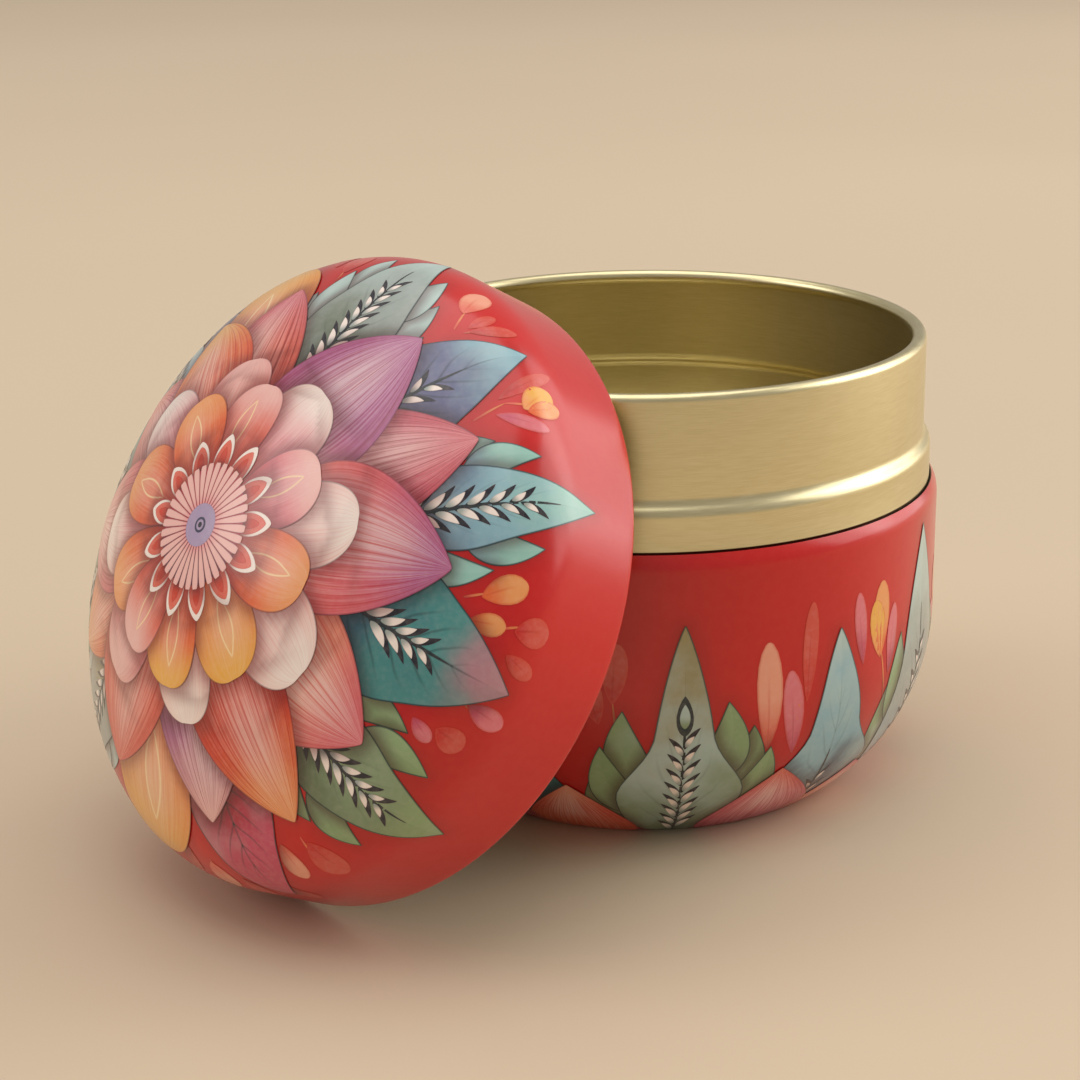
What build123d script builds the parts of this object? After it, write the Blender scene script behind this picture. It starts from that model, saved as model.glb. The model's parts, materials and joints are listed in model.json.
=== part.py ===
from build123d import *
import os
from math import asin, atan, cos, degrees, radians, sin, sqrt

# A round tea caddy of thin tinplate: a drawn bowl, a gold neck ring pressed into
# it, and a domed slip lid that leans against the neck with its foot on the table.
# +Z is up. The origin is the centre of the caddy's flat base. The lid leans on
# the -X side, and its own axis lies in the XZ plane.

# ---- driving dimensions, in millimetres and degrees ----
sheet = 0.3  # tinplate thickness of all three pressings

neck_radius = 40.0  # outside of the gold neck
mouth_height = 65.0  # top of the neck's rolled lip
mouth_curl_radius = 1.0  # outside radius of that roll
curl_turn = 250.0  # how far each rolled edge turns round

band_radius = 41.0  # wider gold band under the stop step
step_foot_height = 48.9  # where the step leaves the band
step_rise = 2.6  # height of the S-shaped step that stops the closed lid
collar_foot_height = 34.5  # lower edge of the neck ring, hidden inside the bowl
collar_flare_height = 2.0  # the flare that wedges the ring against the bowl's wall
collar_flare_bend = 1.5  # bend radius at the top of that flare

shell_radius = 42.2  # outside of the printed bowl
shell_height = 44.3  # top edge of the bowl, turned in towards the neck
shell_edge_turn = 40.0  # how far that edge is turned in
shell_edge_radius = 3.6
wall_foot_height = 24.8  # the straight wall ends here and the belly begins
belly_radius = 30.3
foot_radius = 2.4  # small round between the belly and the flat base

lid_radius = 42.0
lid_skirt = 11.5  # straight part of the lid's side
lid_shoulder_radius = 11.5
lid_cap_radius = 63.9  # shallow crown of the dome
lid_curl_radius = 0.8  # inward roll round the lid's rim, clear of the neck

lean_angle = 28.6  # how far the lid's axis points above level
lean_distance = 46.9  # from the caddy's axis to the centre of the lid's rim

# ---- worked-out values: every pressing is drawn along the middle of its sheet ----
half = sheet / 2
step_turn = 2 * degrees(atan((band_radius - neck_radius) / step_rise))
step_radius = step_rise / (2 * sin(radians(step_turn)))

belly_drop = wall_foot_height - foot_radius
belly_turn = degrees(asin(belly_drop / (belly_radius - foot_radius)))
base_radius = shell_radius - belly_radius + sqrt((belly_radius - foot_radius) ** 2 - belly_drop**2)
shell_edge_rise = shell_edge_radius * sin(radians(shell_edge_turn))

cap_turn = degrees(asin((lid_radius - lid_shoulder_radius) / (lid_cap_radius - lid_shoulder_radius)))
cap_centre = lid_skirt - (lid_cap_radius - lid_shoulder_radius) * cos(radians(cap_turn))
lid_height = cap_centre + lid_cap_radius

lean_sin = sin(radians(lean_angle))
lean_cos = cos(radians(lean_angle))
rim_height = (lid_radius - lid_curl_radius) * lean_cos + lid_curl_radius * (1 - lean_sin)

# ---- body_shell: the drawn bowl, from the middle of its base to its turned-in edge ----
with BuildPart() as body_shell:
    with BuildSketch(Plane.XZ):
        with BuildLine():
            base = Line((0, half), (base_radius, half))
            foot = JernArc(base @ 1, (1, 0), foot_radius - half, 90 - belly_turn)
            belly = JernArc(foot @ 1, foot % 1, belly_radius - half, belly_turn)
            wall = Line(belly @ 1, (shell_radius - half, shell_height - shell_edge_rise))
            edge = JernArc(wall @ 1, (0, 1), shell_edge_radius - half, shell_edge_turn)
        trace(line_width=sheet)
    revolve(axis=Axis.Z)
body_shell.part.label = "body_shell"

# ---- neck_collar: the gold ring with its wedge flare, stop step and rolled lip ----
with BuildPart() as neck_collar:
    with BuildSketch(Plane.XZ):
        with BuildLine():
            band = FilletPolyline(
                (shell_radius - sheet - half, collar_foot_height),
                (band_radius - half, collar_foot_height + collar_flare_height),
                (band_radius - half, step_foot_height),
                radius=collar_flare_bend,
            )
            step_out = JernArc(band @ 1, (0, 1), step_radius - half, step_turn)
            step_in = JernArc(step_out @ 1, step_out % 1, step_radius + half, -step_turn)
            neck = Line(step_in @ 1, (neck_radius - half, mouth_height - mouth_curl_radius))
            lip = JernArc(neck @ 1, (0, 1), mouth_curl_radius - half, curl_turn)
        trace(line_width=sheet)
    revolve(axis=Axis.Z)
neck_collar.part.label = "neck_collar"

# ---- lid_shell: the drawn dome, from its crown to its rolled rim, leaning on the neck ----
lid_centre = (-lean_distance, 0, rim_height)
lid_axis = (-lean_cos, 0, lean_sin)
with BuildPart() as lid_shell:
    with BuildSketch(Plane(origin=lid_centre, x_dir=(lean_sin, 0, lean_cos), z_dir=(0, -1, 0))):
        with BuildLine():
            cap = JernArc((0, lid_height - half), (1, 0), lid_cap_radius - half, -cap_turn)
            shoulder = JernArc(cap @ 1, cap % 1, lid_shoulder_radius - half, cap_turn - 90)
            skirt = Line(shoulder @ 1, (lid_radius - half, lid_curl_radius))
            rim = JernArc(skirt @ 1, (0, -1), lid_curl_radius - half, -curl_turn)
        trace(line_width=sheet)
    revolve(axis=Axis(lid_centre, lid_axis))
lid_shell.part.label = "lid_shell"

# ---- one STEP file for each pressing ----
os.makedirs("parts", exist_ok=True)
for piece in (body_shell, neck_collar, lid_shell):
    export_step(piece.part, f"parts/{piece.part.label}.step")

clearance = lid_shell.part.distance_to(neck_collar.part)
print(f"lid height {lid_height:.2f}, rim centre {rim_height:.2f} above the table")
print(f"lid to neck clearance {clearance:.3f}")
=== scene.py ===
# %% [markdown]
# # A round tea caddy with a painted flower
#
# The object is a small tinplate caddy: a bowl with a printed outside, a gold neck
# pressed into it, and a domed slip lid that leans against the neck. Three thin
# sheets, one satin red paint, one brushed gold lacquer and one big watercolour
# flower are all there is, so the work is in the curves and in the finishes.
#
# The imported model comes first. It is the frame that every piece is built on.

# %% Load the frame
import json
from math import asin, atan2, ceil, cos, hypot, pi, radians, sin

import bpy
import numpy as np
from mathutils import Matrix, Vector


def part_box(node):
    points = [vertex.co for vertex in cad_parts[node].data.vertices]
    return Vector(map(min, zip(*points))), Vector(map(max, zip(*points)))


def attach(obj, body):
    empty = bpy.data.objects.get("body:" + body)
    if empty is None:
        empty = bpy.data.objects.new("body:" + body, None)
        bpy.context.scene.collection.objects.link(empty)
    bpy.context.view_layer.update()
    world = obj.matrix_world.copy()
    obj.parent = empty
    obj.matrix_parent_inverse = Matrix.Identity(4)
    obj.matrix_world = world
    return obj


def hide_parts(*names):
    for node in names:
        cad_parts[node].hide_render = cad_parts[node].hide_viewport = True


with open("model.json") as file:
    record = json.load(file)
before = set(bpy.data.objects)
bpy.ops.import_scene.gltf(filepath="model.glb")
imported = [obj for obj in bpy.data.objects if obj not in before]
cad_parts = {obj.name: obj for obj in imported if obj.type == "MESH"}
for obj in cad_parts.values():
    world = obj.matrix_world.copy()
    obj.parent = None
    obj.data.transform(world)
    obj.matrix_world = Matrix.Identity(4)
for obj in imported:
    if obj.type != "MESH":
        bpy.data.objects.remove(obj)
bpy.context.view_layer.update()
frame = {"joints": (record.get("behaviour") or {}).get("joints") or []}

# %% [markdown]
# ## The sizes that everything follows
#
# The bowl's radius and height and the mouth's height are read from the frame's
# boxes, and the neck and the lid are small steps in from the bowl. What a box can't
# tell, such as how round the shoulder is, is a named length here. One millimetre is
# 0.001, because Blender works in metres.

# %% Sizes of the three pressings
MM = 0.001
SHEET = 0.3 * MM
UP = Vector((0, 0, 1))
EAST = Vector((1, 0, 0))

shell_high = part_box("body_shell")[1]
collar_low, collar_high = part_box("neck_collar")
lid_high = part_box("lid_shell")[1]

shell_radius = shell_high.x
shell_height = shell_high.z
mouth_height = round(collar_high.z, 4)
neck_radius = shell_radius - 2.2 * MM
band_radius = shell_radius - 1.2 * MM
lid_radius = shell_radius - 0.2 * MM

belly_radius = 30.3 * MM  # the bowl's side below its straight wall
foot_radius = 2.4 * MM  # the small round between belly and base
wall_foot = 24.8 * MM  # height at which belly turns into wall
edge_radius = 3.6 * MM  # the bowl's top edge leans in on this round
edge_turn = radians(40)

lid_skirt = 11.5 * MM
shoulder_radius = 11.5 * MM
crown_radius = 63.9 * MM
lid_curl = 0.8 * MM
neck_curl = 1.0 * MM
curl_turn = radians(250)
print(f"bowl {shell_radius / MM:.1f} mm, neck {neck_radius / MM:.1f} mm, lid {lid_radius / MM:.1f} mm")

# %% [markdown]
# ## Where the lid stands
#
# The lid leans on the neck, and the joint that draws it off says which way its own
# axis points. Its rim's centre follows from two facts: the rim's lowest point is on
# the table, and its highest point is the lid's farthest reach towards the caddy.

# %% The lid's place
lid_axis = Vector(frame["joints"][0]["axis"]).normalized()
lid_up = Vector((lid_axis.z, 0, -lid_axis.x))  # from the rim's centre towards its top
lid_right = Vector((0, -1, 0))  # to the right for someone who looks at the flower
roll_centre = lid_radius - lid_curl
lid_centre = Vector((
    lid_high.x - lid_curl - lid_axis.x * lid_curl - lid_up.x * roll_centre,
    0,
    roll_centre * lid_up.z + lid_curl * (1 - lid_axis.z),
))
print("lid rim centre (mm)", [round(value / MM, 2) for value in lid_centre])

# %% [markdown]
# ## Two sections
#
# A turned shape is known once its section is known. Each function here walks a
# distance along the outside of a section and answers with the radius and the
# height. A sink moves the answer that far in from the surface. The meshes are spun
# from these sections, and the paint is wrapped over the very same ones, so the two
# always agree.

# %% The section of the lid, measured from its crown
crown_turn = asin((lid_radius - shoulder_radius) / (crown_radius - shoulder_radius))
crown_centre = lid_skirt - (crown_radius - shoulder_radius) * cos(crown_turn)
crown_run = crown_radius * crown_turn
shoulder_run = shoulder_radius * (pi / 2 - crown_turn)
print(f"crown {crown_run / MM:.1f} mm and shoulder {shoulder_run / MM:.1f} mm along the section")


def lid_section(run, sink=0.0):
    """Radius and height above the rim, a distance down from the crown."""
    if run < crown_run:
        turn = run / crown_radius
        radius = (crown_radius - sink) * sin(turn)
        return radius, crown_centre + (crown_radius - sink) * cos(turn)
    if run < crown_run + shoulder_run:
        turn = crown_turn + (run - crown_run) / shoulder_radius
        radius = lid_radius - shoulder_radius + (shoulder_radius - sink) * sin(turn)
        return radius, lid_skirt + (shoulder_radius - sink) * cos(turn)
    return lid_radius - sink, lid_skirt - (run - crown_run - shoulder_run)

# %% The section of the bowl, measured from the edge of its flat base
belly_turn = asin((wall_foot - foot_radius) / (belly_radius - foot_radius))
foot_turn = pi / 2 - belly_turn
base_radius = shell_radius - belly_radius + (belly_radius - foot_radius) * cos(belly_turn)
foot_run = foot_radius * foot_turn
belly_run = belly_radius * belly_turn
wall_run = shell_height - edge_radius * sin(edge_turn) - wall_foot
print(f"belly {belly_run / MM:.1f} mm and wall {wall_run / MM:.1f} mm along the section")


def bowl_section(run, sink=0.0):
    """Radius and height of the bowl's surface, a distance up from its flat base."""
    if run < foot_run:
        turn = run / foot_radius
        small = foot_radius - sink
        return base_radius + small * sin(turn), foot_radius - small * cos(turn)
    if run < foot_run + belly_run:
        turn = foot_turn + (run - foot_run) / belly_radius
        large = belly_radius - sink
        return shell_radius - belly_radius + large * sin(turn), wall_foot - large * cos(turn)
    rest = run - foot_run - belly_run
    if rest < wall_run:
        return shell_radius - sink, wall_foot + rest
    turn = (rest - wall_run) / edge_radius
    small = edge_radius - sink
    radius = shell_radius - edge_radius + small * cos(turn)
    return radius, wall_foot + wall_run + small * sin(turn)

# %% [markdown]
# ## The camera comes early
#
# With the camera in place, every later step can be judged in the right view. It
# looks down on the mouth a little, from a short way off, with a long lens.

# %% The camera
EYE = Vector((-219.8, -223.8, 136.4)) * MM
LOOK_ACROSS = radians(48.27)  # compass direction of the view, from +X
LOOK_DOWN = radians(18.26)
TILT = radians(-1.0)  # the camera was not held quite level

camera = bpy.data.objects.new("camera", bpy.data.cameras.new("camera"))
bpy.context.collection.objects.link(camera)
camera.data.sensor_width = 36
camera.data.lens = 74.95
camera.data.clip_start = 0.01
turn_about = Matrix.Rotation(LOOK_ACROSS - pi / 2, 4, "Z")
tip_down = Matrix.Rotation(pi / 2 - LOOK_DOWN, 4, "X")
camera.matrix_world = Matrix.Translation(EYE) @ turn_about @ tip_down @ Matrix.Rotation(TILT, 4, "Z")
bpy.context.scene.camera = camera
print("camera at (mm)", [round(value / MM, 1) for value in EYE])

# %% [markdown]
# ## Helpers for working in edit mode
#
# Blender's operators act on whatever is selected, and the loaded frame arrives
# selected, so each step begins with nothing selected. One helper turns a section
# into a solid sheet: it pulls a circle's points onto the section's closed outline
# and spins it round, the way a lathe sweeps a template.

# %% Selecting and spinning
WELD = 0.002 * MM


def select_only(*pieces):
    """Nothing stays selected but these, and the first is the active one."""
    bpy.ops.object.select_all(action="DESELECT")
    for piece in pieces:
        piece.select_set(True)
    if pieces:
        bpy.context.view_layer.objects.active = pieces[0]


def spin_outline(name, outline, centre, axis, across, steps=180):
    """A closed outline of (radius, height) points, spun round an axis into a solid."""
    select_only()
    bpy.ops.mesh.primitive_circle_add(vertices=len(outline), radius=1)
    piece = bpy.context.object
    piece.name = piece.data.name = name
    for point, (radius, height) in zip(piece.data.vertices, outline):
        point.co = centre + across * radius + axis * height
    bpy.ops.object.mode_set(mode="EDIT")
    bpy.ops.mesh.select_all(action="SELECT")
    bpy.ops.mesh.spin(steps=steps, angle=2 * pi, center=centre, axis=axis)
    bpy.ops.mesh.select_all(action="SELECT")
    bpy.ops.mesh.remove_doubles(threshold=WELD)
    bpy.ops.mesh.dissolve_degenerate(threshold=0.5 * WELD)
    bpy.ops.mesh.normals_make_consistent(inside=False)
    bpy.ops.object.mode_set(mode="OBJECT")
    bpy.ops.object.shade_smooth_by_angle(angle=radians(50))
    print(name, len(piece.data.polygons), "faces")
    return piece


def walk(section, start, end, step, sink=0.0):
    """Points (radius, height) along a section, about one step apart."""
    count = max(2, ceil(abs(end - start) / step))
    return [section(start + (end - start) * k / count, sink) for k in range(count + 1)]


def bend_round(centre, radius, start, end, step=radians(15)):
    """Points round an arc of a section, from one angle to another."""
    count = max(2, ceil(abs(end - start) / step))
    angles = [start + (end - start) * k / count for k in range(count + 1)]
    return [(centre[0] + radius * cos(a), centre[1] + radius * sin(a)) for a in angles]


def tidy_outline(points):
    """The outline without points that lie on each other."""
    kept = [points[0]]
    for point in points[1:]:
        if hypot(point[0] - kept[-1][0], point[1] - kept[-1][1]) > 0.01 * MM:
            kept.append(point)
    return kept

# %% [markdown]
# ## The lid
#
# The real lid is drawn from one flat disc, and its rim is rolled inwards so that
# no raw edge meets the fingers. The outline runs down the outside, round the roll,
# back up the inside and ends under the crown, one sheet's thickness below the start.

# %% Spin the lid
STEP = 0.8 * MM
lid_run = crown_run + shoulder_run + lid_skirt - lid_curl
roll = (roll_centre, lid_curl)
lid_outline = walk(lid_section, 0, lid_run, STEP)
lid_outline += bend_round(roll, lid_curl, 0, -curl_turn)
lid_outline += bend_round(roll, lid_curl - SHEET, -curl_turn, 0)
lid_outline += walk(lid_section, lid_run, 0, STEP, sink=SHEET)
lid = spin_outline("lid", tidy_outline(lid_outline), lid_centre, lid_axis, lid_up)

# %% [markdown]
# ## The bowl
#
# The bowl is drawn too: flat base, a small round, the wide curve of the belly, a
# straight wall, and a top edge that is nosed in until it nearly meets the gold.

# %% Spin the bowl
bowl_run = foot_run + belly_run + wall_run + edge_radius * edge_turn
bowl_outline = [(0, 0)] + walk(bowl_section, 0, bowl_run, STEP)
bowl_outline += walk(bowl_section, bowl_run, 0, STEP, sink=SHEET) + [(0, SHEET)]
bowl = spin_outline("bowl", tidy_outline(bowl_outline), Vector(), UP, EAST)

# %% [markdown]
# ## The gold neck
#
# The neck is a ring of its own. From below: a flare that wedges it in the bowl, a
# band, an S-shaped step that stops the closed lid, the straight neck, and a lip
# rolled inwards. The step is two equal arcs that turn by the same angle and back.

# %% Spin the neck
collar_foot = collar_low.z
flare_height = 2.0 * MM
step_foot = 48.9 * MM
step_rise = 2.6 * MM
step_turn = 2 * atan2(band_radius - neck_radius, step_rise)
step_radius = step_rise / (2 * sin(step_turn))


def neck_outline_side(sink):
    """The neck's outside, or with a sink its inside, from the flare up to the lip's roll."""
    low = (band_radius - step_radius, step_foot)
    high = (neck_radius + step_radius, step_foot + step_rise)
    side = [(shell_radius - SHEET - sink, collar_foot)]
    side += [(band_radius - sink, collar_foot + flare_height), (band_radius - sink, step_foot)]
    side += bend_round(low, step_radius - sink, 0, step_turn, radians(7))
    side += bend_round(high, step_radius + sink, pi + step_turn, pi, radians(7))
    return side + [(neck_radius - sink, mouth_height - neck_curl)]


lip = (neck_radius - neck_curl, mouth_height - neck_curl)
collar_outline = neck_outline_side(0)
collar_outline += bend_round(lip, neck_curl, 0, curl_turn, radians(12))
collar_outline += bend_round(lip, neck_curl - SHEET, curl_turn, 0, radians(12))
collar_outline += neck_outline_side(SHEET)[::-1]
collar = spin_outline("neck", tidy_outline(collar_outline), Vector(), UP, EAST, steps=240)

# %% [markdown]
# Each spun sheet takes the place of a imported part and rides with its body, so the
# lid moves when the joint does.

# %% Put the pressings on their bodies
for piece, node, body in (
    (lid, "lid_shell", "lid"),
    (bowl, "body_shell", "caddy"),
    (collar, "neck_collar", "caddy"),
):
    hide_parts(node)
    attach(piece, body)
    print(piece.name, "rides with", body)

# %% [markdown]
# ## Writing shader maths as Python
#
# A material is a sum of simple signals. This small class wraps a node's socket, so
# that `mask * 0.5 + noise` adds the Math nodes by itself. Every other node comes
# from one method, `node`, which takes the node's type, its settings and its inputs.

# %% The signal class
def operator(operation, flipped=False):
    """A Python operator that adds a Math node."""

    def method(self, other):
        pair = (other, self) if flipped else (self, other)
        return self.maths(operation, *pair)

    return method


class Signal:
    """A socket that can be used in a Python expression."""

    def __init__(self, tree, socket):
        self.tree = tree
        self.socket = socket

    def node(self, kind, inputs, settings=None, out=0):
        """Adds a node, sets it up, feeds it values or signals, and returns its output."""
        made = self.tree.nodes.new(kind)
        for key, value in (settings or {}).items():
            setattr(made, key, value)
        for key, value in inputs.items():
            if isinstance(value, Signal):
                self.tree.links.new(value.socket, made.inputs[key])
            else:
                made.inputs[key].default_value = value
        return Signal(self.tree, made.outputs[out])

    def maths(self, operation, *values):
        return self.node("ShaderNodeMath", dict(enumerate(values)), {"operation": operation})

    __add__ = __radd__ = operator("ADD")
    __mul__ = __rmul__ = operator("MULTIPLY")
    __sub__, __rsub__ = operator("SUBTRACT"), operator("SUBTRACT", flipped=True)
    __truediv__, __pow__ = operator("DIVIDE"), operator("POWER")

    def __abs__(self):
        return self.maths("ABSOLUTE", self)

    def fraction(self):
        return self.maths("FRACT", self)

    def rise(self, low, high):
        """0 below low, 1 above high, and a smooth rise between them."""
        inputs = {"Value": self, "From Min": low, "From Max": high}
        return self.node("ShaderNodeMapRange", inputs, {"interpolation_type": "SMOOTHSTEP"})

    def noise(self, scale, detail):
        """Soft random cloud over this vector signal."""
        return self.node("ShaderNodeTexNoise", {"Vector": self, "Scale": scale, "Detail": detail})

    def paint(self, under, over, blend="MIX"):
        """This signal is the brush: it lays one colour over another."""
        settings = {"data_type": "RGBA", "blend_type": blend, "clamp_factor": True}
        return self.node("ShaderNodeMix", {0: self, 6: under, 7: over}, settings, out=2)

    def part(self, number):
        """One of the three parts of a vector signal."""
        return self.node("ShaderNodeSeparateXYZ", {0: self}, out=number)

    def ask(self, name):
        """A value that the mesh carries at each point."""
        return self.node("ShaderNodeAttribute", {}, {"attribute_name": name}, out=2)

    def ask_colour(self, name):
        """A colour that the mesh carries at each point."""
        return self.node("ShaderNodeAttribute", {}, {"attribute_name": name}, out=0)


def new_material(name):
    """A new material: itself, the shader that signals will feed, and the place on the object."""
    material = bpy.data.materials.new(name)
    material.use_nodes = True
    tree = material.node_tree
    shader = tree.nodes["Principled BSDF"]
    place = Signal(tree, tree.nodes.new("ShaderNodeTexCoord").outputs["Object"])
    print("material", name)
    return material, shader, place


def feed(shader, **signals):
    """Links signals to the shader's sockets, named with underscores."""
    for key, signal in signals.items():
        signal.tree.links.new(signal.socket, shader.inputs[key.replace("_", " ")])


def bump(place, height, depth):
    """A fine relief: height is a signal from 0 to 1, depth its size in metres."""
    return place.node("ShaderNodeBump", {"Height": height, "Strength": 1.0, "Distance": depth})

# %% [markdown]
# ## The colour box
#
# Paints are mixed as everyday 0-255 values and turned once into the linear
# values that Blender's shaders expect.

# %% Paints
def paint(red, green, blue):
    """A linear colour, with full cover as its fourth part, from everyday 0-255 values."""
    straight = [value / 255 for value in (red, green, blue)]
    linear = [v / 12.92 if v < 0.04 else ((v + 0.055) / 1.055) ** 2.4 for v in straight]
    return (*linear, 1)


MIXES = {
    "ground": (204, 34, 28), "deep": (120, 14, 18), "white": (250, 234, 224), "cream": (254, 224, 172),
    "yellow": (240, 176, 72), "apricot": (240, 158, 92), "orange": (232, 104, 44), "flame": (218, 64, 34),
    "coral": (228, 104, 82), "peach": (240, 160, 132), "blush": (242, 186, 178), "pink": (224, 116, 126),
    "rose": (202, 72, 100), "crimson": (168, 24, 50), "plum": (96, 30, 50), "shadow": (132, 60, 62),
    "haze": (214, 78, 64), "orchid": (182, 104, 152), "lilac": (172, 150, 182), "mauve": (190, 134, 146),
    "indigo": (50, 50, 80), "dusk": (104, 104, 142), "slate": (112, 134, 160), "sky": (146, 186, 198),
    "teal": (76, 144, 142), "sea": (62, 106, 124), "mint": (158, 204, 192), "mist": (186, 206, 200),
    "sage": (138, 158, 122), "moss": (92, 102, 72), "fern": (146, 172, 124), "khaki": (164, 150, 104),
    "grey": (160, 168, 162), "pine": (26, 44, 48), "night": (30, 28, 40),
}
INK = {name: paint(*mix) for name, mix in MIXES.items()}
print(len(INK), "inks")

# %% [markdown]
# ## Satin red paint
#
# The ground is a red lacquer baked onto the tin. It isn't one flat red: the layer
# is rolled on, so its tone drifts a little, and it has the faint skin of small
# waves that painters call orange peel. A soft, broad shine comes from a fairly
# rough surface under a smoother clear coat. Close to the flower the red is deeper,
# where the painted petals and leaves lay their shadow on it.

# %% The red ground
PAINT_ROUGHNESS = 0.38
WAVE_DEPTH = 0.005 * MM
COATING = {"Specular IOR Level": 0.15, "Coat Weight": 0.9, "Coat Roughness": 0.2}


def satin(shader, place, colour, tone):
    """The finish of everything painted: small waves under a clear coat."""
    feed(shader, Base_Color=colour, Roughness=PAINT_ROUGHNESS + 0.06 * tone)
    feed(shader, Normal=bump(place, place.noise(420, 2), WAVE_DEPTH))
    for name, value in COATING.items():
        shader.inputs[name].default_value = value


red_paint, shader, place = new_material("satin red paint")
drift = place.noise(38, 3).rise(0.3, 0.7)
grain = place.noise(900, 2).rise(0.3, 0.7)
ground = drift.paint(paint(196, 5, 6), paint(206, 16, 13))
ground = (grain * 0.1).paint(ground, paint(216, 60, 46))
ground = (place.ask("shade") * 0.25).paint(ground, paint(150, 70, 74), "MULTIPLY")
satin(shader, place, ground, drift)

# %% [markdown]
# ## Brushed gold lacquer
#
# Gold on tea tins is a yellow lacquer over bright tinplate, so it shines like
# metal. The plate is brushed before it is lacquered, and on a turned piece the
# brush marks run round it. To get marks that run round, the noise is stretched:
# it changes fast with height and slowly on the way round. The way round is given
# as a point on a circle, which has no break. Where the neck goes into the bowl, a
# thin dark line of painted shade on its outside stands for the shadow in the crease
# between the neck and the bowl's edge.

# %% Gold, brushed round an axis
# The painted shade in the crease where the neck meets the bowl's edge: how far it fades, and its colour.
GAP_SHADE_FADE = 0.12 * MM
GAP_SHADE_COLOUR = paint(46, 14, 12)
BRUSH_DEPTH = 0.0012 * MM


def brushed_gold(name, centre, axis, across, tones, shade_below=None):
    """Gold lacquer whose brush marks run round an axis, with painted shade outside below a given height."""
    material, shader, place = new_material(name)
    from_centre = place.node("ShaderNodeVectorMath", {0: place, 1: centre}, {"operation": "SUBTRACT"})
    dot = {"operation": "DOT_PRODUCT"}
    height, east, north = (
        place.node("ShaderNodeVectorMath", {0: from_centre, 1: way}, dot, out=1)
        for way in (axis, across, axis.cross(across))
    )
    radius = (east * east + north * north) ** 0.5 + 0.1 * MM
    climb = height + radius * 0.4

    def brush(scale, turns):
        marks = {0: east / radius * turns, 1: north / radius * turns, 2: climb * scale}
        return place.node("ShaderNodeCombineXYZ", marks).noise(3.0, 3)

    fine, broad = brush(2600, 5), brush(500, 1.5)
    cloud = place.noise(45, 2)
    colour = (fine * 0.7 + broad * 0.3).rise(0.3, 0.7).paint(*tones)
    # Painted shade: a thin dark band on the outside, just below the bowl's edge, for the shadow in that
    # crease.
    if shade_below:
        outside = radius.rise(band_radius - 0.2 * MM, band_radius - 0.1 * MM)
        colour = (outside * height.rise(shade_below + GAP_SHADE_FADE, shade_below)).paint(colour, GAP_SHADE_COLOUR)
    feed(shader, Base_Color=colour, Roughness=0.25 + 0.1 * fine + 0.05 * cloud)
    feed(shader, Normal=bump(place, fine * 0.75 + broad * 0.25, BRUSH_DEPTH))
    shader.inputs["Metallic"].default_value = 1.0
    return material


NECK_TONES = (paint(216, 203, 158), paint(226, 214, 174))
LID_TONES = (paint(202, 186, 130), paint(214, 200, 148))
neck_gold = brushed_gold("brushed gold, neck", Vector(), UP, EAST, NECK_TONES)
# The collar's outside gets the painted shade of the crease just below the bowl's edge.
collar_gold = brushed_gold("brushed gold, collar", Vector(), UP, EAST, NECK_TONES, shell_height + 0.2 * MM)
lid_gold = brushed_gold("gold inside the lid", lid_centre, lid_axis, lid_up, LID_TONES)

# %% [markdown]
# Two of the sheets are red outside and gold inside. A face is inside when its
# normal points back towards the middle of the piece, and the rolled edge of the
# lid is lacquered like the inside once it has turned under.

# %% Paint outside, lacquer inside
def paint_two_sides(piece, outside, inside, is_inside):
    piece.data.materials.clear()
    piece.data.materials.append(outside)
    piece.data.materials.append(inside)
    for face in piece.data.polygons:
        face.material_index = int(is_inside(face))


def inside_lid(face):
    offset = face.center - lid_centre
    height = offset.dot(lid_axis)
    radial = offset - lid_axis * height
    middle = lid_centre + lid_axis * min(height, 0.3 * lid_skirt)
    if height < lid_curl:
        return radial.length < lid_radius - 0.6 * lid_curl
    return face.normal.dot(face.center - middle) < 0


def inside_bowl(face):
    middle = Vector((0, 0, max(face.center.z, wall_foot)))
    return face.normal.dot(face.center - middle) < 0


paint_two_sides(lid, red_paint, lid_gold, inside_lid)
paint_two_sides(bowl, red_paint, neck_gold, inside_bowl)
collar.data.materials.clear()
collar.data.materials.append(collar_gold)

# %% [markdown]
# ## How the flower is printed
#
# On the real tin the picture is printed flat on the sheet before the sheet is
# drawn, as a transfer is. Here it is made the same way. Every petal, leaf, stem
# and berry is a *blade*: a small grid of faces shaped on a flat layout sheet, in
# millimetres, and then wrapped over the pressing by the same section that spun it.
# A blade keeps its own coordinates, along and across, so its stripes and veins
# follow it round the dome. Blades overlap as brush strokes do, so each gets a
# layer, and each layer is a hundredth of a millimetre higher: too little to see.

# %% Wrapping a flat layout over the pressings
FIRST_LAYER = 0.02 * MM
LAYER_STEP = 0.01 * MM
INK_THICKNESS = 0.008 * MM
ROUND_THE_BOWL = 2 * pi * shell_radius / MM
DEGREE_ON_BOWL = ROUND_THE_BOWL / 360


def on_lid(right, up, layer):
    """A point of the lid's layout, (0, 0) at the crown, wrapped over the dome."""
    run = max(hypot(right, up), 1e-6)
    radius, height = lid_section(run * MM, -FIRST_LAYER - layer * LAYER_STEP)
    outward = lid_up * (up / run) + lid_right * (right / run)
    return lid_centre + outward * radius + lid_axis * height


def on_bowl(right, up, layer):
    """A point of the bowl's layout, x round the wall and y up from the base's edge."""
    radius, height = bowl_section(max(up, 0) * MM, -FIRST_LAYER - layer * LAYER_STEP)
    angle = right * MM / shell_radius
    return Vector((radius * cos(angle), radius * sin(angle), height))

# %% [markdown]
# A blade's outline is one formula. With `u` going from 0 at the base to 1 at the
# tip, its width is `u**a * (1-u)**b`, scaled so that the widest place is the asked
# width. Small powers give a blunt end and large ones a sharp end: 0.5 and 0.5 make
# an ellipse, 0.75 and 0.42 a round petal, 0.62 and 0.85 a pointed one. A third
# number, the waist, narrows the upper half, as an onion narrows into its shoot.

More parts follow.
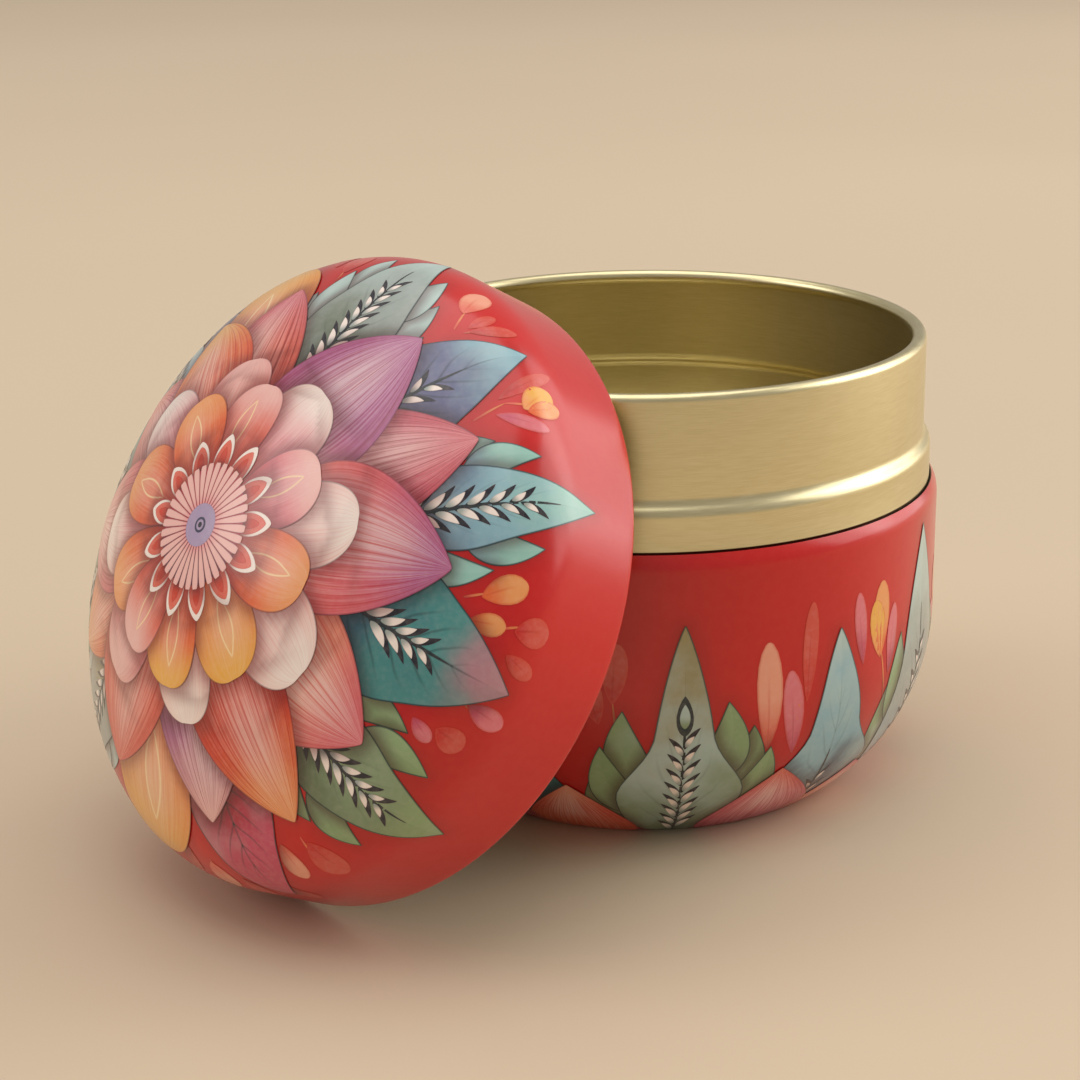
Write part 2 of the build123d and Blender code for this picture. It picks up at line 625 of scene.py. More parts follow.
# %% The outline of a blade
ROUND = (0.75, 0.42, 0)
POINTED = (0.62, 0.85, 0)
FLAME = (0.6, 0.95, 0)
LEAF = (0.62, 1.0, 0.12)
ONION = (0.42, 0.85, 0.5)
BERRY = (0.8, 0.55, 0)
ARCH = (0.7, 0.7, 0)
OVAL = (0.5, 0.5, 0)
STROKE = (0.3, 0.5, 0)
RAY = (1.4, 0.16, 0)
FAN = (0.16, 0.95, 0)


class Outline:
    """Where a blade lies on its layout, and how wide it is on the way to its tip."""

    def __init__(self, base, tip, half_width, shape, bend):
        self.base, tip = np.array(base, float), np.array(tip, float)
        self.length = hypot(*(tip - self.base))
        self.along = (tip - self.base) / self.length
        self.across = np.array([self.along[1], -self.along[0]])
        self.half_width, self.shape, self.bend = half_width, shape, bend

    def width(self, u):
        a, b, waist = self.shape
        widest = a / (a + b)
        share = u**a * (1 - u) ** b / (widest**a * (1 - widest) ** b)
        upper = np.clip((u - 0.3) / 0.3, 0, 1)
        return self.half_width * share * (1 - waist * upper * upper * (3 - 2 * upper))

    def sway(self, u):
        return self.bend * self.length * 4 * u * (1 - u)

    def spots(self, u, side):
        """Layout points from their shares of the length and of the half width."""
        forward = np.outer(u * self.length, self.along)
        return self.base + forward + np.outer(side * self.width(u) + self.sway(u), self.across)

    def gap(self, spots, circle):
        """How far layout points lie outside the outline; a circle is the way round a bowl."""
        offset = spots - self.base
        if circle:
            offset[:, 0] = (offset[:, 0] + circle / 2) % circle - circle / 2
        u = offset @ self.along / self.length
        held = np.clip(u, 0.01, 0.99)
        slope = (self.width(held + 0.005) - self.width(held - 0.005)) / (0.01 * self.length)
        beside = np.abs(offset @ self.across - self.sway(held)) - self.width(held)
        beside = np.maximum(beside / np.sqrt(1 + slope * slope), 0)
        return np.hypot(beside, (u - held) * self.length)

# %% [markdown]
# What gives a painted flower its depth is the soft shadow that each petal lays on
# the ones below. A pressing remembers the outline of every blade that casts one,
# and can then say for any point of the layout how deep in shadow it lies.

# %% Painted shadows
SHADOW_REACH = 1.35  # millimetres
LAYER_MARGIN = 0.4  # a blade shades only what lies at least this many layers lower


class Pressing:
    """What the layouts on one pressing share: the way to wrap, the body, the shadows."""

    def __init__(self, body, wrap, circle=None):
        self.body, self.wrap, self.circle = body, wrap, circle
        self.casters, self.layouts = [], []

    def shade(self, spots, layer):
        """How deep, from 0 to 1, points of this layer lie in the shadow of higher blades."""
        dark = np.zeros(len(spots))
        for outline, height in self.casters:
            if height > layer + LAYER_MARGIN:
                near = np.exp(-((outline.gap(spots, self.circle) / SHADOW_REACH) ** 2))
                dark = np.maximum(dark, near)
        return dark

    def finish(self):
        """Joins the blades of every layout, once all the shadows are known."""
        for layout in self.layouts:
            layout.finish()


on_the_lid = Pressing("lid", on_lid)
on_the_bowl = Pressing("caddy", on_bowl, ROUND_THE_BOWL)

# %% A layout of blades
BLADE_ENDS = (0.004, 0.996)  # just short of the ends, so that no face is a sliver
SEED_STEP = 0.731  # moves each blade to another part of the noise


def hold(mesh, name, values):
    """Writes one number for each point of the mesh."""
    mesh.attributes.new(name, "FLOAT", "POINT").data.foreach_set("value", values)


class Layout:
    """A sheet of blades that become one printed piece."""

    def __init__(self, name, pressing, material, rows, columns):
        select_only()
        bpy.ops.mesh.primitive_grid_add(x_subdivisions=columns, y_subdivisions=rows, size=2)
        self.name, self.pressing, self.material = name, pressing, material
        self.stamp = bpy.context.object
        pressing.layouts.append(self)
        self.grid = np.array([point.co[:2] for point in self.stamp.data.vertices])
        self.blades = []

    def blade(self, base, tip, half_width, shape, layer, inks, marks=(0, 0), bend=0.0, casts=False):
        """Shapes one blade from base to tip, in millimetres, and wraps it."""
        outline = Outline(base, tip, half_width, shape, bend)
        side = self.grid[:, 0]
        u = np.clip((1 - np.cos(pi * (self.grid[:, 1] + 1) / 2)) / 2, *BLADE_ENDS)
        flat = outline.spots(u, side)
        mesh = self.stamp.data.copy()
        corners = [self.pressing.wrap(x, y, layer) for x, y in flat]
        mesh.vertices.foreach_set("co", np.array(corners).ravel())
        hold(mesh, "rim", outline.width(u) * (1 - abs(side)))
        hold(mesh, "seed", np.full(len(u), SEED_STEP * len(self.blades)))
        for k, value in enumerate(marks):
            hold(mesh, f"mark_{k}", np.full(len(u), float(value)))
        self.ink(mesh, u, side, inks)
        if casts:
            self.pressing.casters.append((outline, layer))
        self.blades.append((mesh, flat, layer))

    def ink(self, mesh, u, side, inks):
        """Gives the blade its own coordinates and its inks at the base, the middle and the tip."""
        uv = mesh.uv_layers.active or mesh.uv_layers.new(name="blade")
        uv.name = "blade"
        corners = np.array([loop.vertex_index for loop in mesh.loops])
        uv.data.foreach_set("uv", np.stack([side / 2 + 0.5, u], 1)[corners].ravel())
        base_ink, middle_ink, tip_ink = inks if len(inks) == 3 else (inks[0], inks[1], inks[1])
        for name, ink in (("base_ink", base_ink), ("middle_ink", middle_ink), ("tip_ink", tip_ink)):
            colours = np.tile(INK[ink], len(u))
            mesh.attributes.new(name, "FLOAT_COLOR", "POINT").data.foreach_set("color", colours)

    def finish(self, slot="printed_enamel"):
        """Joins the blades into one thin, closed piece and puts it on its body."""
        bpy.data.objects.remove(self.stamp)
        pieces = []
        for mesh, flat, layer in self.blades:
            hold(mesh, "shade", self.pressing.shade(flat, layer))
            pieces.append(bpy.data.objects.new(self.name, mesh))
            bpy.context.collection.objects.link(pieces[-1])
        select_only(*pieces)
        bpy.ops.object.join()
        piece = bpy.context.object
        piece.name = piece.data.name = self.name
        piece.data.materials.clear()
        piece.data.materials.append(self.material)
        solid = piece.modifiers.new("ink thickness", "SOLIDIFY")
        solid.thickness = INK_THICKNESS
        solid.offset = -1
        bpy.ops.object.modifier_apply(modifier=solid.name)
        bpy.ops.object.shade_smooth_by_angle(angle=radians(60))
        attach(piece, self.pressing.body)
        print(self.name, len(self.blades), "blades,", len(piece.data.polygons), "faces")


def spot_at(angle, reach):
    """A layout point, by its angle from straight up, anticlockwise, and its distance."""
    return -reach * sin(radians(angle)), reach * cos(radians(angle))

# %% [markdown]
# ## Watercolour
#
# Watercolour has three habits: the tone drifts where the water carried it, pigment
# gathers in a darker line at the rim, and the paper's grain breaks it up. The
# helper below gives a blade all three. What differs between petals and leaves is
# the drawing on top, so that comes as an extra step in each material.

# %% The watercolour wash
PRINT_SHADE = 0.68


def watercolour(name, drift):
    """A wash from base ink to tip ink that drifts; gives back all that a drawing needs."""
    material, shader, place = new_material(name)
    uv = place.node("ShaderNodeUVMap", {}, {"uv_map": "blade"})
    across, along = uv.part(0) * 2 - 1, uv.part(1)
    wash = along + (place.noise(110, 3) - 0.5) * drift
    base_ink, middle_ink = place.ask_colour("base_ink"), place.ask_colour("middle_ink")
    colour = wash.rise(0.1, 0.58).paint(base_ink, middle_ink)
    colour = wash.rise(0.52, 0.96).paint(colour, place.ask_colour("tip_ink"))
    grain = place.noise(1300, 2)
    colour = ((grain - 0.4) * 0.16).paint(colour, INK["white"])
    return material, shader, place, base_ink, colour, across, along


def finish_print(shader, place, colour, rim_ink, rim_width, rim_strength):
    """Lays rim and shadow over the drawing and gives the print the tin's own satin shine."""
    rim = (1 - place.ask("rim").rise(0.2 * rim_width, rim_width)) * rim_strength
    colour = rim.paint(colour, INK[rim_ink])
    colour = (place.ask("shade") * PRINT_SHADE).paint(colour, INK["shadow"], "MULTIPLY")
    satin(shader, place, colour, place.noise(38, 3))

# %% [markdown]
# A petal's drawing is a fan of fine dark hairs that meet at the base and the tip,
# because they run along lines of equal `across`. The hairs are a noise that is
# stretched along the petal. With them go a pale bloom in the middle, a few pen
# lines, darker sides, and on some petals two cream brush lines. How strong the fan
# and the cream lines are comes from the blade's own two marks.

# %% Petal paint
petal_print, shader, place, base_ink, colour, across, along = watercolour("petal print", 0.3)
fan, lines = place.ask("mark_0"), place.ask("mark_1")
inner = 1 - abs(across).rise(0.5, 1.0)
bloom = (1 - abs(across + 0.12).rise(0.05, 0.75)) * along.rise(0.2, 0.6) * (1 - along.rise(0.66, 0.98))
colour = (bloom * (0.16 + 0.22 * fan)).paint(colour, INK["white"])
stretched = place.node("ShaderNodeCombineXYZ", {0: across * 11, 1: along * 0.8, 2: place.ask("seed") * 9})
hairs = stretched.noise(3.0, 3)
fade = 1 - along.rise(0.25, 0.95) * (0.75 - 0.35 * fan)
colour = (hairs.rise(0.46, 0.62) * fade * (0.1 + 0.3 * fan)).paint(colour, base_ink, "MULTIPLY")
colour = (hairs.rise(0.56, 0.4) * inner * (0.08 + 0.06 * fan)).paint(colour, INK["white"])
wander = (stretched.noise(0.8, 2) - 0.5) * 1.1
beat = abs((across * 8 + wander).fraction() - 0.5)
pen = beat.rise(0.38, 0.5) * along.rise(0.03, 0.2) * (1 - abs(across).rise(0.86, 1.0))
colour = (pen * fan * 0.62).paint(colour, base_ink, "MULTIPLY")
sides = abs(across).rise(0.45, 1.05)
colour = (sides * (0.1 + 0.18 * fan)).paint(colour, base_ink, "MULTIPLY")
root = 1 - along.rise(0.0, 0.38)
colour = (root * (0.2 + 0.2 * fan)).paint(colour, base_ink, "MULTIPLY")
bow = (along - 0.36) * (0.84 - along) * 17
flank = 1 - abs(abs(across + 0.1) - 0.2 * bow).rise(0.0, 0.04)
stroke = flank * along.rise(0.33, 0.42) * (1 - along.rise(0.82, 0.86)) * lines
colour = (stroke * 0.9).paint(colour, INK["cream"])
finish_print(shader, place, colour, "plum", 0.26, 0.6)

# %% [markdown]
# A leaf's drawing is darker: one half in shade, a deep shadow up from the foot,
# soft side veins that sweep forward, and a thin dark outline like a pen line.

# %% Leaf paint
leaf_print, shader, place, base_ink, colour, across, along = watercolour("leaf print", 0.85)
foot, veins = place.ask("mark_0"), place.ask("mark_1")
colour = (across.rise(-0.05, 0.12) * 0.12).paint(colour, place.ask_colour("middle_ink"), "MULTIPLY")
sheen = place.noise(75, 2).rise(0.5, 0.75)
colour = (sheen * 0.4).paint(colour, INK["mist"])
spine = (1 - abs(across).rise(0.0, 0.75)) * (1 - along.rise(0.03, 0.4))
colour = (spine * foot).paint(colour, INK["night"])
waver = (place.noise(160, 2) - 0.5) * 0.5
sweep = (along - abs(across) * 0.3) * 8 + waver
vein = 1 - abs(sweep.fraction() - 0.5).rise(0.0, 0.13)
vein = vein * (1 - abs(across).rise(0.3, 0.85)) * (1 - along.rise(0.55, 0.85))
middle = (1 - abs(across).rise(0.0, 0.05)) * (1 - along.rise(0.7, 0.95))
colour = ((vein * 0.55 + middle * 0.6) * veins).paint(colour, INK["pine"])
finish_print(shader, place, colour, "pine", 0.3, 0.9)

# %% Paint for leaflets, rays and other small strokes
stroke_print, shader, place, base_ink, colour, across, along = watercolour("small stroke print", 0.1)
finish_print(shader, place, colour, "plum", 0.12, 0.2)

# %% [markdown]
# The berries are thin paint that lets the red through, so their inks lie close to
# the ground's. A dry vein up the middle and a darker rim tell them from the ground.

# %% Berry paint
berry_print, shader, place, base_ink, colour, across, along = watercolour("berry print", 0.5)
vein = (1 - abs(across + 0.1).rise(0.0, 0.16)) * (1 - along.rise(0.4, 0.8)) * place.ask("mark_0")
colour = (vein * 0.35).paint(colour, base_ink, "MULTIPLY")
finish_print(shader, place, colour, "flame", 0.35, 0.45)

# %% [markdown]
# ## Drawing a leaf
#
# Each leaf is built the way a painter lays it down: pointed side lobes first, the
# body over their feet, a dark line up the middle, and pairs of pale leaflets on
# dark strokes along it. A lobe is given by its tip, as shares of the leaf's length
# and half width, so a leaf can be stretched without spoiling its outline.

# %% Leaf, with lobes and leaflets
LOBE_REACH = 0.36  # a lobe's length as a share of the leaf's
LOBE_CURL = 0.13
LEAFLET_SLANT = radians(33)
LOBES_AT, BODY_AT, DARK_AT, PALE_AT = 2, 7, 9, 10.5  # layers
SPRIG_AT, BERRY_AT = 0.5, 2
DARK = ("pine", "pine")


class Leaf(Outline):
    """A leaf on two layouts: its own blades, and the small strokes on top."""

    def __init__(self, leaves, strokes, base, tip, half_width, shape=LEAF):
        super().__init__(base, tip, half_width, shape, bend=0)
        self.leaves, self.strokes, self.tip = leaves, strokes, tip

    def spot(self, forward, sideways):
        return self.base + self.along * self.length * forward + self.across * self.half_width * sideways

    def body(self, inks, foot_shadow, veins):
        marks = (foot_shadow, veins)
        self.leaves.blade(self.base, self.tip, self.half_width, self.shape, BODY_AT, inks, marks, casts=True)

    def lobes(self, tips, inks):
        width = 0.24 * self.half_width + 0.9
        for number, (forward, sideways) in enumerate(tips):
            foot = self.spot(max(forward - LOBE_REACH, 0.02), sideways * 0.5)
            tip = self.spot(forward, sideways)
            curl = -LOBE_CURL if sideways < 0 else LOBE_CURL
            layer = LOBES_AT + 1.2 * (number % 2)
            self.leaves.blade(foot, tip, width, FLAME, layer, inks, (0.3, 0), curl, casts=True)

    def spray(self, pairs, start, end, size):
        """The dark middle line with its pairs of pale leaflets, which get smaller upwards."""
        lay = self.strokes.blade
        lay(self.spot(start - 0.05, 0), self.spot(end + 0.12, 0), 0.28, STROKE, DARK_AT, DARK)
        for pair in range(pairs):
            share = pair / pairs
            length = size * (1 - 0.5 * share)
            for side in (-1, 1):
                heading = self.along * cos(LEAFLET_SLANT) + self.across * sin(LEAFLET_SLANT) * side
                root = self.spot(start + (end - start) * (share + 0.25 * side / pairs), 0)
                near, far = root + heading * (0.16 * length), root + heading * length
                dark_width, pale_width, bend = 0.3 + 0.06 * length, 0.14 + 0.1 * length, -0.07 * side
                lay(root, far + heading * 1.5, dark_width, POINTED, DARK_AT, ("pine", "night"), bend=bend)
                lay(near, far, pale_width, POINTED, PALE_AT, ("grey", "white"), bend=bend)

    def bud(self, start, end):
        """One closed leaflet at the top of a spray."""
        self.strokes.blade(self.spot(start, 0), self.spot(end, 0), 1.15, POINTED, DARK_AT, DARK)
        near, far = self.spot(start + 0.03, 0), self.spot(end - 0.03, 0)
        self.strokes.blade(near, far, 0.7, POINTED, PALE_AT, ("sage", "mist"))


def draw_sprig(sprigs, stem, berries):
    """A thin stem through its points, with berries given as (from, to, half width, inks)."""
    for start, end in zip(stem, stem[1:]):
        sprigs.blade(start, end, 0.16, STROKE, SPRIG_AT, ("coral", "apricot"))
    for start, end, half_width, inks in berries:
        sprigs.blade(start, end, half_width, BERRY, BERRY_AT, inks, (1, 0))

# %% [markdown]
# ## The lid's leaves
#
# The leaves lie round the flower in no strict order: feathery ones with pale
# leaflets, and broad smooth ones that turn from dark to light. The back of the lid
# gets its own, so the wreath closes all the way round. Each leaf is given by its
# base, tip, half width and inks, then its lobes, then its pairs of leaflets.

# %% Lay out the leaves
lid_leaves = Layout("lid_leaves", on_the_lid, leaf_print, rows=40, columns=16)
lid_leaflets = Layout("lid_leaflets", on_the_lid, stroke_print, rows=14, columns=2)
LEAFLET = 4.2  # the lowest leaflets of a spray, in millimetres
MEADOW, ICE = ("moss", "sage", "fern"), ("slate", "sky", "mint")
LAGOON, TWILIGHT = ("sea", "teal", "mauve"), ("indigo", "dusk", "sky")
FEATHER = ((0.5, -1.45), (0.68, -1.15), (0.84, -0.75), (0.8, 0.75), (0.64, 1.15), (0.46, 1.4))
FEATHERY_LEAVES = (
    ((4, 20), (5.5, 48.5), 8.2, ("moss", "grey", "mist"), FEATHER, 7),
    ((26, 8.5), (49.5, 22.5), 5.6, ICE, ((0.5, -1.5), (0.7, -1.15), (0.68, 1.1), (0.44, 1.5)), 6),
    ((20, -16), (43, -31), 6.4, MEADOW, ((0.5, -1.55), (0.7, -1.15), (0.7, 1.1), (0.46, 1.4)), 7),
    ((-14, -19), (-31, -38), 7.2, ("khaki", "grey", "mist"), FEATHER[1:5], 6),
    ((-24, 13), (-44, 26), 6.2, ICE, FEATHER[:4], 6),
    ((-24, -10), (-47, -20), 6.4, MEADOW, FEATHER, 7),
)
BROAD_LEAVES = (
    ((14, 15), (29, 37), 8.6, TWILIGHT, 3),
    ((23, -2), (47.5, -7), 9.0, LAGOON, 4),
    ((9, -25), (19, -47), 7.8, ("crimson", "rose", "rose"), 0),
    ((-27, 3), (-49, 4), 8.4, LAGOON, 4),
    ((-17, 20), (-33, 41), 7.6, TWILIGHT, 3),
)
for base, tip, half_width, inks, lobes, pairs in FEATHERY_LEAVES:
    leaf = Leaf(lid_leaves, lid_leaflets, base, tip, half_width)
    leaf.lobes(lobes, inks[1:])
    leaf.body(inks, foot_shadow=0.85, veins=0.35)
    leaf.spray(pairs, 0.08, 0.66, LEAFLET)
for base, tip, half_width, inks, pairs in BROAD_LEAVES:
    leaf = Leaf(lid_leaves, lid_leaflets, base, tip, half_width)
    leaf.body(inks, foot_shadow=0.6, veins=0.9)
    if pairs:
        leaf.spray(pairs, 0.2, 0.56, LEAFLET)

# %% [markdown]
# ## Sprigs and berries on the lid
#
# Between the leaf tips the ground carries loose, half-transparent berries. They are
# painted in tones close to the red, which is what makes them look thin.

# %% Lay out the sprigs
lid_sprigs = Layout("lid_sprigs", on_the_lid, berry_print, rows=10, columns=4)
PALE, FAINT, GOLDEN = ("coral", "peach"), ("ground", "haze"), ("orange", "apricot")
DUSKY, BRIGHT = ("rose", "pink"), ("apricot", "yellow")
LID_SPRIGS = (
    (((19, 35), (18, 38.5)), (((18, 38), (16.8, 43.5), 2.0, PALE),)),
    (((20.5, 35), (22.5, 37)), (
        ((21, 35.5), (25.5, 39.5), 1.1, FAINT), ((20.5, 36), (21.5, 40), 1.0, FAINT))),
    (((29.5, 24), (31.5, 28), (34.5, 30)), (
        ((33.8, 28.6), (34.6, 33.6), 2.0, BRIGHT), ((34.4, 28.6), (37.2, 32.2), 1.5, GOLDEN),
        ((31.5, 26), (38, 28), 1.1, DUSKY), ((30.5, 28), (33, 36.5), 1.1, FAINT))),
    (((38.5, 3), (41, 4.5)), (((40.5, 3.8), (45, 7.4), 1.9, GOLDEN), ((40, 0.5), (44.4, 1.2), 1.5, GOLDEN))),
    (((44, 1), (46, 2)), (((45.5, 1.2), (50, 2.4), 2.1, FAINT), ((45.5, -2), (49.6, -4.2), 1.3, FAINT))),
    (((41, -8), (43, -10)), (
        ((43, -9.5), (47.8, -11.8), 1.6, DUSKY), ((37, -13), (39.5, -15.5), 1.1, DUSKY),
        ((40, -13.5), (43.5, -15.5), 1.8, FAINT))),
    (((24, -33), (26, -36)), (
        ((25, -33.5), (29.5, -38.5), 2.2, FAINT), ((21, -35), (23.5, -40.5), 1.6, PALE))),
    (((18, -43), (19, -45)), (((19, -43), (21, -50), 1.5, FAINT), ((12, -44), (14.5, -49), 1.6, FAINT))),
    (((7, -42), (8, -44)), (((7, -42.5), (8.5, -48), 2.3, PALE), ((2.5, -41), (2, -46.5), 1.5, FAINT))),
    (((-6, 37), (-7, 40)), (((-6.5, 39), (-7.5, 44.5), 2.1, FAINT), ((-10, 40), (-13, 45), 1.5, FAINT))),
    (((-38, -8), (-41, -10)), (
        ((-41, -10), (-46, -12.5), 2.0, GOLDEN), ((-40, -7), (-45, -6.5), 1.5, DUSKY))),
    (((-37, 14), (-40, 15)), (((-40, 15), (-45, 17), 2.0, PALE), ((-41, 11), (-46, 11.5), 1.6, DUSKY))),
    (((-25, -37), (-27, -40)), (
        ((-26, -39), (-29, -44.5), 2.0, GOLDEN), ((-21, -39), (-22, -45), 1.6, FAINT))),
    (((-24, 38), (-26, 41)), (((-25, 40), (-28.5, 45), 1.9, GOLDEN), ((-21, 41), (-22, 46.5), 1.6, DUSKY))),
)
for stem, berries in LID_SPRIGS:
    draw_sprig(lid_sprigs, stem, berries)

# %% [markdown]
# ## The flower's petals
#
# The flower is four rings of petals. Angles run anticlockwise from straight up. Two
# blunt orange petals lie lowest, then a ring of pointed striped ones, then two rings
# of round ones. The petals of a ring take their heights in turn, so neighbours
# overlap cleanly. A petal is given by its angle, reach, half width and inks.

# %% Lay out the petals
lid_petals = Layout("lid_petals", on_the_lid, petal_print, rows=38, columns=16)
SUNNY, HONEY = ("flame", "orange", "yellow"), ("orange", "apricot", "yellow")
EMBER, SALMON = ("flame", "orange", "apricot"), ("flame", "coral", "blush")
PEARL, SHELL = ("coral", "blush", "white"), ("flame", "pink", "white")
DAWN, ROSY = ("flame", "pink", "blush"), ("crimson", "rose", "pink")
BLUNT_PETALS = ((28, 14, 43, 9.5, SUNNY), (173, 16, 44.5, 9.5, HONEY))
POINTED_PETALS = (
    (18, 36.5, 9.4, ("crimson", "coral", "pink")), (333, 36, 9.8, ("rose", "orchid", "orchid")),
    (305, 38.5, 8.8, ROSY), (279, 36.5, 9.6, ("coral", "pink", "orchid")),
    (240, 36.5, 10.0, ("coral", "peach", "pink")), (217, 39, 8.4, ("flame", "flame", "apricot")),
    (195, 37, 8.6, ("crimson", "orchid", "blush")), (158, 37, 9.6, ("flame", "coral", "coral")),
    (124, 38, 9.4, EMBER), (97, 38, 9.4, ("rose", "pink", "blush")),
    (68, 37.5, 9.4, ROSY), (44, 38, 9.0, SUNNY),
)
PALE_PETALS = (
    (18, 23.5, 6.0, SALMON), (335, 22.5, 6.2, SHELL), (287, 24, 5.6, PEARL), (240, 25.5, 6.4, PEARL),
    (192, 24.5, 5.4, PEARL), (147, 26, 6.4, DAWN), (101, 27, 6.0, SHELL),
    (62, 27.5, 6.0, ("crimson", "pink", "white")),
)
ORANGE_PETALS = (
    (0, 19.5, 5.0, SALMON), (306, 18.8, 5.0, DAWN), (263, 19.5, 5.0, EMBER), (218, 20.5, 5.3, HONEY),
    (181, 20.5, 5.2, SUNNY), (151, 20, 4.8, SALMON), (122, 21.5, 5.2, EMBER), (82, 22.5, 5.4, EMBER),
    (42, 20, 5.2, EMBER),
)


def ring(petals, start, shape, layer, steps, fan, lines):
    """Lays a ring of petals that start at the same distance, at heights taken in turn."""
    for number, (angle, reach, half_width, inks) in enumerate(petals):
        base, tip = spot_at(angle, start), spot_at(angle, reach)
        height = layer + steps[number % len(steps)]
        lean = 0.03 if number % 3 else -0.04
        lid_petals.blade(base, tip, half_width, shape, height, inks, (fan, lines), lean, casts=True)


for angle, start, reach, half_width, inks in BLUNT_PETALS:
    base, tip = spot_at(angle, start), spot_at(angle, reach)
    lid_petals.blade(base, tip, half_width, ROUND, 13, inks, (0.3, 1), casts=True)
ring(POINTED_PETALS, 9, POINTED, layer=14.5, steps=(0, 2, 0.8, 2.8), fan=1, lines=0)
ring(PALE_PETALS, 5, ROUND, layer=19.5, steps=(0, 2, 0.8, 2.8), fan=0.35, lines=0)
ring(ORANGE_PETALS, 4, ROUND, layer=24.5, steps=(0, 1.5, 3), fan=0.1, lines=1)

# %% [markdown]
# ## The flower's heart
#
# In the middle a pale disc is cut into narrow rays with scalloped ends, round a
# lilac eye. A wreath of small red arches with white edges stands between the disc
# and the petals. A whole circle is just an oval blade as wide as it is long.

# %% Lay out the heart
flower_heart = Layout("flower_heart", on_the_lid, stroke_print, rows=14, columns=6)


def disc(radius, layer, inks, casts=False):
    flower_heart.blade((0, -radius), (0, radius), radius, OVAL, layer, inks, casts=casts)


ARCHES = 13
for number in range(ARCHES):
    angle = 8 + number * 360 / ARCHES
    for start, reach, half_width, layer, inks in (
        (5.6, 12.0, 1.6, 29, ("coral", "white")),
        (5.4, 11.2, 1.36, 30, ("flame", "coral")),
        (6.8, 10.2, 0.66, 31, ("deep", "flame")),
    ):
        base, tip = spot_at(angle, start), spot_at(angle, reach)
        flower_heart.blade(base, tip, half_width, ARCH, layer, inks, casts=layer == 29)
RAYS = 36
disc(7.6, 32.5, ("plum", "crimson"), casts=True)
for number in range(RAYS):
    angle = number * 360 / RAYS
    flower_heart.blade((0, 0), spot_at(angle, 8.1), 0.5, RAY, 33.5, ("pink", "blush"))
disc(2.75, 34.5, ("lilac", "lilac"))
for radius, layer, ink in ((1.0, 35.5, "indigo"), (0.68, 36.5, "lilac"), (0.36, 37.5, "night")):
    disc(radius, layer, (ink, ink))

# %% [markdown]
# All of the lid's blades are laid now, so each layout can be asked for its shadows
# and joined. The red ground gets the same shadows: a point of the spun lid is
# traced back to the layout by how far it lies down the section.

# %% Finish the lid's print and shade its ground
on_the_lid.finish()


def shade_ground(piece, pressing, section, end, climb, flat_spots):
    """Gives the sheet under the print the print's own shadows."""
    runs = np.linspace(0, end, 400)
    radii, heights = np.array([section(run) for run in runs]).T
    radius, height, spots_of = flat_spots(np.array([point.co for point in piece.data.vertices]))
    run = np.interp(radius + climb * height, radii + climb * heights, runs)
    hold(piece.data, "shade", pressing.shade(spots_of(run / MM), 0))


def lid_spots(points):
    offset = points - np.array(lid_centre)
    height, up, right = (offset @ np.array(way) for way in (lid_axis, lid_up, lid_right))
    radius = np.hypot(up, right) + 1e-9
    return radius, height, lambda run: np.stack([run * right / radius, run * up / radius], 1)


def bowl_spots(points):
    angle = np.arctan2(points[:, 1], points[:, 0])
    radius = np.hypot(points[:, 0], points[:, 1])
    return radius, points[:, 2], lambda run: np.stack([angle * shell_radius / MM, run], 1)


shade_ground(lid, on_the_lid, lid_section, lid_run, -1, lid_spots)

# %% [markdown]
# ## The bowl's border
#
# Leaves and striped petals grow up from the bowl's base like flames. One stretch of
# the border is a third of the way round, and it is laid three times. Places are
# given in degrees round the bowl and in millimetres up from the base's edge.

# %% Lay out the border
bowl_leaves = Layout("bowl_leaves", on_the_bowl, leaf_print, rows=38, columns=16)
bowl_leaflets = Layout("bowl_leaflets", on_the_bowl, stroke_print, rows=14, columns=2)
bowl_petals = Layout("bowl_petals", on_the_bowl, petal_print, rows=24, columns=16)
bowl_sprigs = Layout("bowl_sprigs", on_the_bowl, berry_print, rows=10, columns=4)
FLAMES = ((0.42, -1.32), (0.56, -1.16), (0.7, -0.84), (0.72, 0.6), (0.62, 0.98), (0.52, 1.28))
BORDER_LEAVES = (
    (0, 40, 0, 9.8, ONION, ("sage", "mist", "khaki"), FLAMES, 8, 0.6, 4.3),
    (31, 36.5, 2, 11.0, ONION, ("indigo", "sky", "mist"), (), 3, 0.36, 3.6),
    (58.5, 46, 2, 8.4, LEAF, ("slate", "grey", "mist"), FLAMES[1:5], 8, 0.62, 4.0),
    (85, 38, -2, 10.4, ONION, ("sea", "teal", "mint"), (), 5, 0.5, 3.4),
)
BORDER_PETALS = (
    (-23, 15, 10.5, ("orange", "coral", "peach")), (21, 16.5, 11.5, ("rose", "pink", "coral")),
    (46, 11.5, 12.0, ("coral", "peach", "pink")), (71, 15.5, 11.0, ("rose", "pink", "blush")),
)
BORDER_SPRIGS = (
    ((), (((16.2, 20.5), (15.5, 36.5), 1.9, PALE),)),
    (((22, 22), (22, 28)), (((22, 19), (20, 32), 1.6, DUSKY), ((23.5, 27), (24.5, 41), 1.2, FAINT))),
    (((45, 22.5), (42, 32)), (
        ((42, 30), (40.4, 38.5), 1.7, BRIGHT), ((42, 30), (42.3, 41), 1.8, GOLDEN),
        ((45, 27), (46.5, 37), 1.2, DUSKY), ((37, 30), (35.5, 40.5), 1.2, DUSKY))),
    (((-12, 22), (-13, 30)), (((-13, 29), (-12, 37.5), 1.7, FAINT), ((-15.5, 26), (-17.5, 33), 1.5, FAINT))),
    (((74, 24), (73, 31)), (((73, 30), (72, 38), 2.0, PALE), ((70.5, 26), (69, 32), 1.6, DUSKY))),
    (((-27, 20), (-28, 29)), (((-28, 29), (-29.5, 37), 2.0, GOLDEN), ((-25.5, 28), (-24.5, 35), 1.5, DUSKY))),
)
